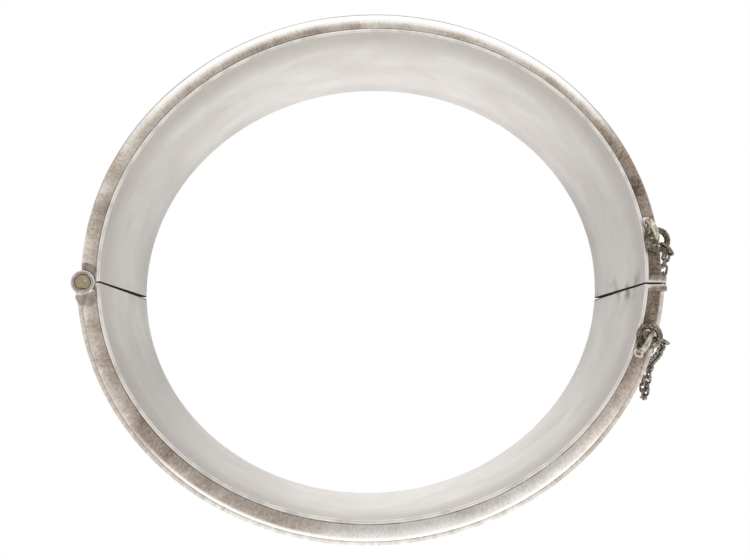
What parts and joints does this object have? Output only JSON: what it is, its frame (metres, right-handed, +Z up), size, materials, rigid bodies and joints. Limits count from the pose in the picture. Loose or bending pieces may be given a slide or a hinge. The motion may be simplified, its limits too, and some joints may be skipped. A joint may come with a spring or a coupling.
{
  "type": "bangle bracelet",
  "caption": "Oval hollow bangle bracelet of two hinged halves with a tongue clasp, a thumb press and a fine safety chain between two rim staples.",
  "frame": {"origin": "middle of the oval opening, level with the lower edge that the bangle stands on", "axes": "+X from the hinge to the clasp, +Y towards the plain half, +Z up through the opening; the oval leans 5 degrees about Z"},
  "size_m": [0.0693, 0.0596, 0.0218],
  "materials": {
    "satin_silver": "worn satin silver with fine scratches and grey-brown tarnish",
    "lining_silver": "smooth, softly rubbed silver",
    "tarnished_silver": "dark tarnished silver, bright where it rubs",
    "solder_silver": "soldered silver, uneven and slightly pitted",
    "spring_silver": "hard-rolled silver sheet",
    "brass": "rubbed brass, darkened at the edge"
  },
  "bodies": {
    "back_half": {"back_outer_skin": "satin_silver", "back_lining": "lining_silver", "back_rim_top": "satin_silver", "back_rim_bottom": "satin_silver", "back_hinge_plate": "satin_silver", "back_clasp_plate": "satin_silver", "back_hinge_knuckles": "solder_silver", "back_staple": "solder_silver"},
    "front_half": {"front_outer_skin": "satin_silver", "front_lining": "lining_silver", "front_rim_top": "satin_silver", "front_rim_bottom": "satin_silver", "front_hinge_plate": "satin_silver", "front_border_top": "satin_silver", "front_border_bottom": "satin_silver", "front_hinge_knuckles": "solder_silver", "front_clasp_plate": "satin_silver", "front_staple": "solder_silver", "hinge_pin": "brass", "clasp_tongue": "spring_silver"},
    "catch_leaf": {"clasp_spring": "spring_silver"},
    "back_ring": {"back_jump_ring": "tarnished_silver"},
    "back_hanger": {"back_end_link": "tarnished_silver"},
    "front_ring": {"front_jump_ring": "tarnished_silver"},
    "front_hanger": {"front_end_link": "tarnished_silver"},
    "chain_01": {"chain_01": "tarnished_silver"},
    "chain_02": {"chain_02": "tarnished_silver"},
    "chain_03": {"chain_03": "tarnished_silver"},
    "chain_04": {"chain_04": "tarnished_silver"},
    "chain_05": {"chain_05": "tarnished_silver"},
    "chain_06": {"chain_06": "tarnished_silver"},
    "chain_07": {"chain_07": "tarnished_silver"},
    "chain_08": {"chain_08": "tarnished_silver"},
    "chain_09": {"chain_09": "tarnished_silver"},
    "chain_10": {"chain_10": "tarnished_silver"},
    "chain_11": {"chain_11": "tarnished_silver"},
    "chain_12": {"chain_12": "tarnished_silver"},
    "chain_13": {"chain_13": "tarnished_silver"},
    "chain_14": {"chain_14": "tarnished_silver"},
    "chain_15": {"chain_15": "tarnished_silver"},
    "chain_16": {"chain_16": "tarnished_silver"},
    "chain_17": {"chain_17": "tarnished_silver"},
    "chain_18": {"chain_18": "tarnished_silver"},
    "chain_19": {"chain_19": "tarnished_silver"},
    "chain_20": {"chain_20": "tarnished_silver"},
    "chain_21": {"chain_21": "tarnished_silver"},
    "chain_22": {"chain_22": "tarnished_silver"}
  },
  "joints": [
    {"name": "bangle_hinge", "type": "hinge", "parent": "back_half", "child": "front_half", "pos_m": [-0.03187, -0.0016, 0.01008], "axis": [0, 0, 1], "range_deg": [-18, 0]},
    {"name": "thumb_press", "type": "hinge", "parent": "front_half", "child": "catch_leaf", "pos_m": [0.03075, 0.00521, 0.01008], "axis": [0, 0, 1], "range_deg": [-2.5, 0], "stiffness_Nm_per_rad": 0.02},
    {"name": "back_ring_turn", "type": "hinge", "parent": "back_half", "child": "back_ring", "pos_m": [0.03117, 0.00311, 0.02075], "axis": [0, 0, 1], "range_deg": [0, 38.3]},
    {"name": "back_link_swing", "type": "hinge", "parent": "back_ring", "child": "back_hanger", "pos_m": [0.03203, 0.00239, 0.02075], "axis": [-0.0908, -0.9959, 0], "range_deg": [-45.21, 0]},
    {"name": "front_ring_turn", "type": "hinge", "parent": "front_half", "child": "front_ring", "pos_m": [0.02994, -0.00745, 0.02075], "axis": [0, 0, 1], "range_deg": [0, 59.7]},
    {"name": "front_link_swing", "type": "hinge", "parent": "front_ring", "child": "front_hanger", "pos_m": [0.03099, -0.00783, 0.02075], "axis": [-0.342, -0.9397, 0], "range_deg": [0, 37.54]},
    {"name": "link_turn_01", "type": "hinge", "parent": "back_hanger", "child": "chain_01", "pos_m": [0.03255, 0.00195, 0.02017], "axis": [0.9726, -0.0275, 0.231], "range_deg": [-38.96, 0]},
    {"name": "link_turn_02", "type": "hinge", "parent": "chain_01", "child": "chain_02", "pos_m": [0.03284, 0.00199, 0.01899], "axis": [0.5515, 0.7444, -0.3764], "range_deg": [-11.06, 0]},
    {"name": "link_turn_03", "type": "hinge", "parent": "chain_02", "child": "chain_03", "pos_m": [0.03315, 0.00085, 0.0172], "axis": [0.9954, 0.0281, 0.0919], "range_deg": [0, 59.36]},
    {"name": "link_turn_04", "type": "hinge", "parent": "chain_03", "child": "chain_04", "pos_m": [0.03333, -0.0008, 0.01582], "axis": [0.9729, 0.2107, -0.0948], "range_deg": [0, 26.51]},
    {"name": "link_turn_05", "type": "hinge", "parent": "chain_04", "child": "chain_05", "pos_m": [0.03353, -0.00237, 0.01437], "axis": [0.6001, -0.584, 0.5466], "range_deg": [-17.34, 0]},
    {"name": "link_turn_06", "type": "hinge", "parent": "chain_05", "child": "chain_06", "pos_m": [0.03381, -0.00367, 0.01268], "axis": [0.9809, 0.1941, 0.0139], "range_deg": [-16.67, 0]},
    {"name": "link_turn_07", "type": "hinge", "parent": "chain_06", "child": "chain_07", "pos_m": [0.03409, -0.00497, 0.01099], "axis": [0.6539, -0.499, 0.5687], "range_deg": [0, 17.53]},
    {"name": "link_turn_08", "type": "hinge", "parent": "chain_07", "child": "chain_08", "pos_m": [0.03432, -0.00643, 0.00943], "axis": [0.4193, -0.5869, 0.6926], "range_deg": [0, 13.85]},
    {"name": "link_turn_09", "type": "hinge", "parent": "chain_08", "child": "chain_09", "pos_m": [0.03452, -0.008, 0.00798], "axis": [0.2454, 0.7785, -0.5776], "range_deg": [-12.04, 0]},
    {"name": "link_turn_10", "type": "hinge", "parent": "chain_09", "child": "chain_10", "pos_m": [0.03479, -0.00933, 0.00631], "axis": [0.982, 0.0311, 0.1861], "range_deg": [-82.73, 0]},
    {"name": "link_turn_11", "type": "hinge", "parent": "chain_10", "child": "chain_11", "pos_m": [0.03519, -0.01007, 0.00433], "axis": [0.6671, -0.6379, 0.3848], "range_deg": [-21.81, 0]},
    {"name": "link_turn_12", "type": "hinge", "parent": "chain_11", "child": "chain_12", "pos_m": [0.03558, -0.01085, 0.00236], "axis": [0.9852, 0.1138, -0.1279], "range_deg": [0, 41.44]},
    {"name": "link_turn_13", "type": "hinge", "parent": "chain_12", "child": "chain_13", "pos_m": [0.03566, -0.01272, 0.00131], "axis": [0.9781, -0.204, 0.0422], "range_deg": [0, 66.16]},
    {"name": "link_turn_14", "type": "hinge", "parent": "chain_13", "child": "chain_14", "pos_m": [0.03524, -0.01452, 0.0024], "axis": [0.7653, -0.606, 0.217], "range_deg": [0, 19.11]},
    {"name": "link_turn_15", "type": "hinge", "parent": "chain_14", "child": "chain_15", "pos_m": [0.03476, -0.01437, 0.00449], "axis": [0.3963, 0.6782, -0.6188], "range_deg": [0, 6.63]},
    {"name": "link_turn_16", "type": "hinge", "parent": "chain_15", "child": "chain_16", "pos_m": [0.03454, -0.01286, 0.00601], "axis": [0.4292, 0.6813, -0.5929], "range_deg": [-1.58, 0]},
    {"name": "link_turn_17", "type": "hinge", "parent": "chain_16", "child": "chain_17", "pos_m": [0.03431, -0.01138, 0.00755], "axis": [0.7892, 0.5906, -0.1683], "range_deg": [-0.274, 0]},
    {"name": "link_turn_18", "type": "hinge", "parent": "chain_17", "child": "chain_18", "pos_m": [0.03396, -0.01038, 0.00942], "axis": [-0.0341, -0.9751, 0.219], "range_deg": [0, 9.07]},
    {"name": "link_turn_19", "type": "hinge", "parent": "chain_18", "child": "chain_19", "pos_m": [0.03352, -0.00991, 0.01147], "axis": [0.532, -0.8213, 0.2059], "range_deg": [0, 2.65]},
    {"name": "link_turn_20", "type": "hinge", "parent": "chain_19", "child": "chain_20", "pos_m": [0.03305, -0.00969, 0.01356], "axis": [0.8268, 0.5474, 0.1297], "range_deg": [-1.1, 0]},
    {"name": "link_turn_21", "type": "hinge", "parent": "chain_20", "child": "chain_21", "pos_m": [0.03258, -0.00947, 0.01564], "axis": [0.1888, 0.9708, -0.1483], "range_deg": [-7.03, 0]},
    {"name": "link_turn_22", "type": "hinge", "parent": "chain_21", "child": "chain_22", "pos_m": [0.03213, -0.00907, 0.01771], "axis": [0.6924, 0.7058, -0.1496], "range_deg": [-12.8, 0]}
  ],
  "couplings": [
    {"joint": "back_ring_turn", "follows": "bangle_hinge", "ratio": -2.1272},
    {"joint": "back_link_swing", "follows": "bangle_hinge", "ratio": 2.5112},
    {"joint": "front_ring_turn", "follows": "bangle_hinge", "ratio": -3.3159},
    {"joint": "front_link_swing", "follows": "bangle_hinge", "ratio": -2.085},
    {"joint": "link_turn_01", "follows": "bangle_hinge", "ratio": 2.164},
    {"joint": "link_turn_02", "follows": "bangle_hinge", "ratio": 0.61383},
    {"joint": "link_turn_03", "follows": "bangle_hinge", "ratio": -3.2971},
    {"joint": "link_turn_04", "follows": "bangle_hinge", "ratio": -1.472},
    {"joint": "link_turn_05", "follows": "bangle_hinge", "ratio": 0.96288},
    {"joint": "link_turn_06", "follows": "bangle_hinge", "ratio": 0.9257},
    {"joint": "link_turn_07", "follows": "bangle_hinge", "ratio": -0.97332},
    {"joint": "link_turn_08", "follows": "bangle_hinge", "ratio": -0.76892},
    {"joint": "link_turn_09", "follows": "bangle_hinge", "ratio": 0.66857},
    {"joint": "link_turn_10", "follows": "bangle_hinge", "ratio": 4.5953},
    {"joint": "link_turn_11", "follows": "bangle_hinge", "ratio": 1.2109},
    {"joint": "link_turn_12", "follows": "bangle_hinge", "ratio": -2.3015},
    {"joint": "link_turn_13", "follows": "bangle_hinge", "ratio": -3.6749},
    {"joint": "link_turn_14", "follows": "bangle_hinge", "ratio": -1.0612},
    {"joint": "link_turn_15", "follows": "bangle_hinge", "ratio": -0.36799},
    {"joint": "link_turn_16", "follows": "bangle_hinge", "ratio": 0.08707},
    {"joint": "link_turn_17", "follows": "bangle_hinge", "ratio": 0.014638},
    {"joint": "link_turn_18", "follows": "bangle_hinge", "ratio": -0.50335},
    {"joint": "link_turn_19", "follows": "bangle_hinge", "ratio": -0.1466},
    {"joint": "link_turn_20", "follows": "bangle_hinge", "ratio": 0.060765},
    {"joint": "link_turn_21", "follows": "bangle_hinge", "ratio": 0.38968},
    {"joint": "link_turn_22", "follows": "bangle_hinge", "ratio": 0.71069}
  ]
}
